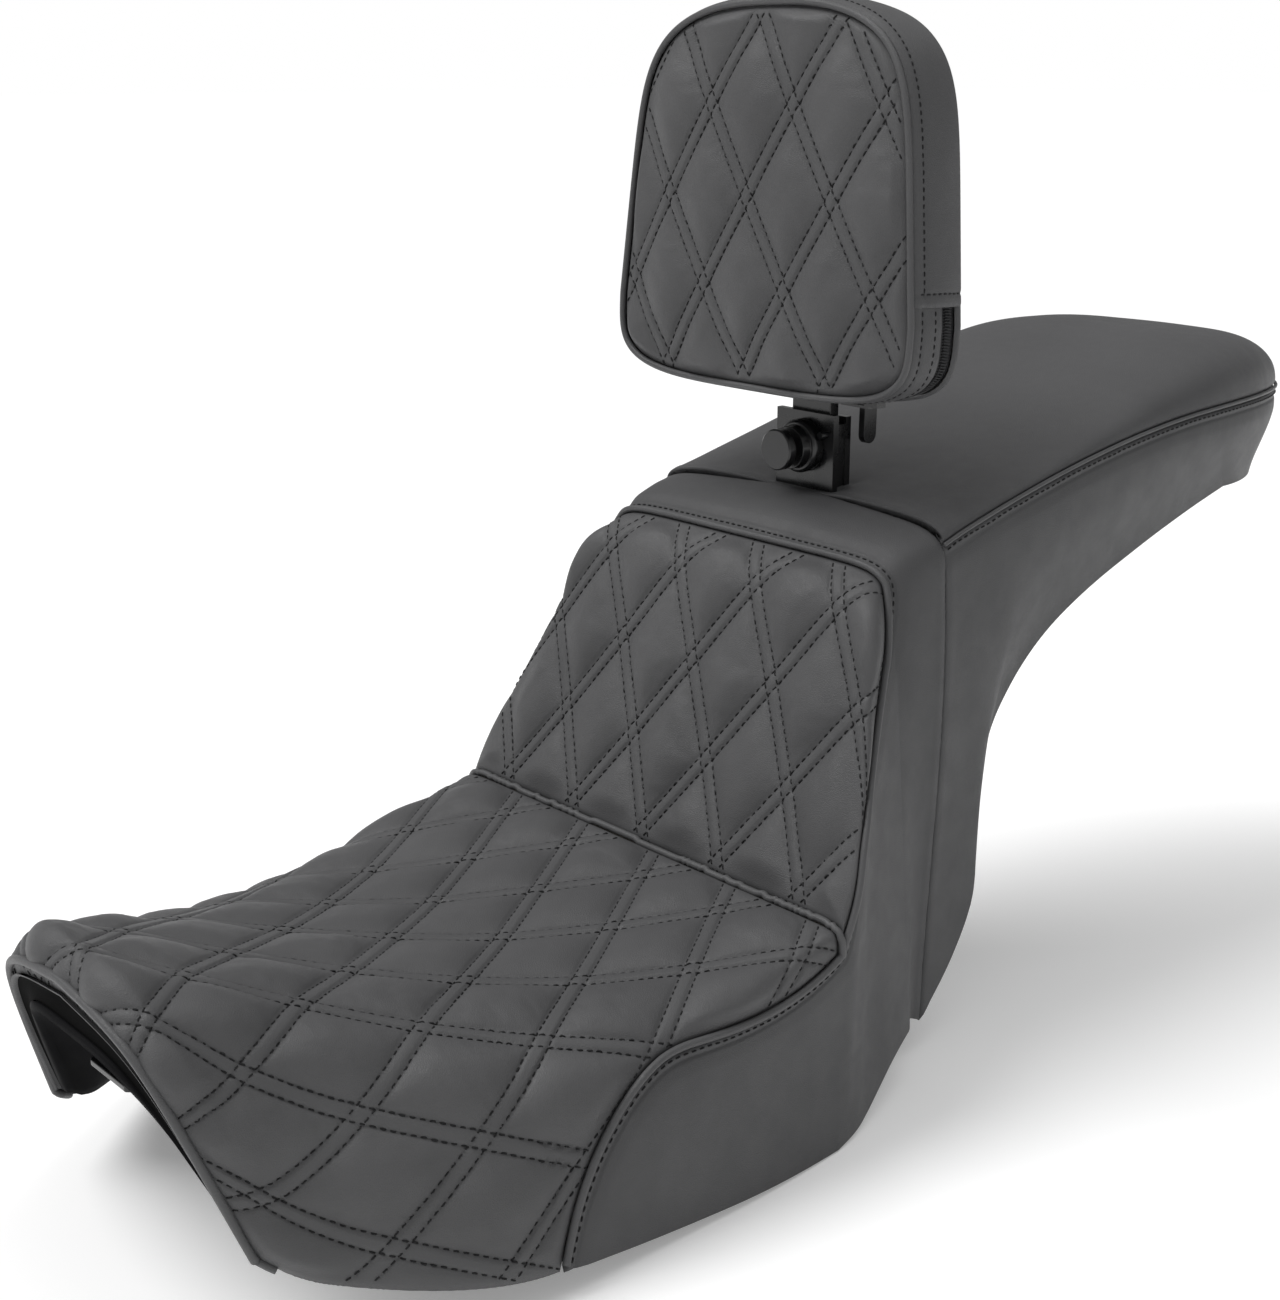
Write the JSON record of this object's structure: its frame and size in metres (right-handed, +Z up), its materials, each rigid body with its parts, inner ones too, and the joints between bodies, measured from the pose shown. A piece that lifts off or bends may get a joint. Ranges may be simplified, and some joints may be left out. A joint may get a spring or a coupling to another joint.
{
  "type": "motorcycle seat",
  "caption": "Two-up step seat with diamond-stitched rider and lumbar panels, a smooth pillion and a height and tilt adjustable rider backrest",
  "frame": {"origin": "centre of the screw hole in the rear mounting tab, halfway through the strip", "axes": "+Z is up and along the rear screw hole, -Y is forward towards the nose, +X is the rider's left"},
  "size_m": [0.3184, 0.901, 0.5682],
  "materials": {
    "quilted_leather": "fine-grained black vinyl leather, stitched in diamonds",
    "smooth_leather": "fine-grained black vinyl leather, plain",
    "foam": "moulded polyurethane foam",
    "pan_plastic": "moulded black base",
    "rubber": "black rubber",
    "black_steel": "satin black powder coat",
    "zinc": "zinc plated steel",
    "zip_nylon": "black nylon coil zip and tape",
    "plywood": "birch plywood"
  },
  "bodies": {
    "seat": {"base_pan": "pan_plastic", "rider_foam": "foam", "pillion_foam": "foam", "rider_panel": "quilted_leather", "lumbar_panel": "quilted_leather", "surround_panel": "smooth_leather", "pillion_top": "smooth_leather", "pillion_side_panel": "smooth_leather", "nose_piping": "smooth_leather", "junction_piping": "smooth_leather", "surround_piping": "smooth_leather", "pillion_piping": "smooth_leather", "rubber_bumpers": "rubber", "front_tongue": "black_steel", "tongue_rivets": "zinc", "rear_tab": "black_steel", "tab_rivets": "zinc", "receiver": "black_steel", "receiver_bolts": "zinc", "receiver_nuts": "zinc", "plunger_barrel": "black_steel", "plunger_spring": "zinc", "stop_pin": "black_steel"},
    "plunger": {"plunger_knob": "black_steel", "plunger_pin": "zinc"},
    "post": {"post": "black_steel"},
    "pad": {"pad_bracket": "black_steel", "tilt_bolt": "zinc", "tilt_nut": "zinc", "tilt_washers": "zinc", "pad_board": "plywood", "pad_tnuts": "zinc", "pad_screws": "zinc", "pad_foam": "foam", "pad_face": "quilted_leather", "pad_upper_band": "smooth_leather", "pad_lower_band": "smooth_leather", "pad_piping": "smooth_leather", "pad_zipper": "zip_nylon", "pad_back": "smooth_leather"},
    "lever": {"tilt_lever": "black_steel"},
    "slider": {"zipper_slider": "zinc"}
  },
  "joints": [
    {"name": "plunger_lock", "type": "slide", "parent": "seat", "child": "plunger", "axis": [0, 1, 0], "range_m": [0, 0.005]},
    {"name": "backrest_height", "type": "slide", "parent": "seat", "child": "post", "axis": [0, 0, 1], "range_m": [0, 0.05]},
    {"name": "backrest_tilt", "type": "hinge", "parent": "post", "child": "pad", "pos_m": [0, -0.4135, 0.09], "axis": [1, 0, 0], "range_deg": [-10, 20]},
    {"name": "tilt_lever_turn", "type": "hinge", "parent": "pad", "child": "lever", "pos_m": [0.028, -0.4135, 0.09], "axis": [1, 0, 0], "range_deg": [0, 60]},
    {"name": "zip_travel", "type": "slide", "parent": "pad", "child": "slider", "axis": [-1, 0, 0], "range_m": [0, 0.11]}
  ]
}
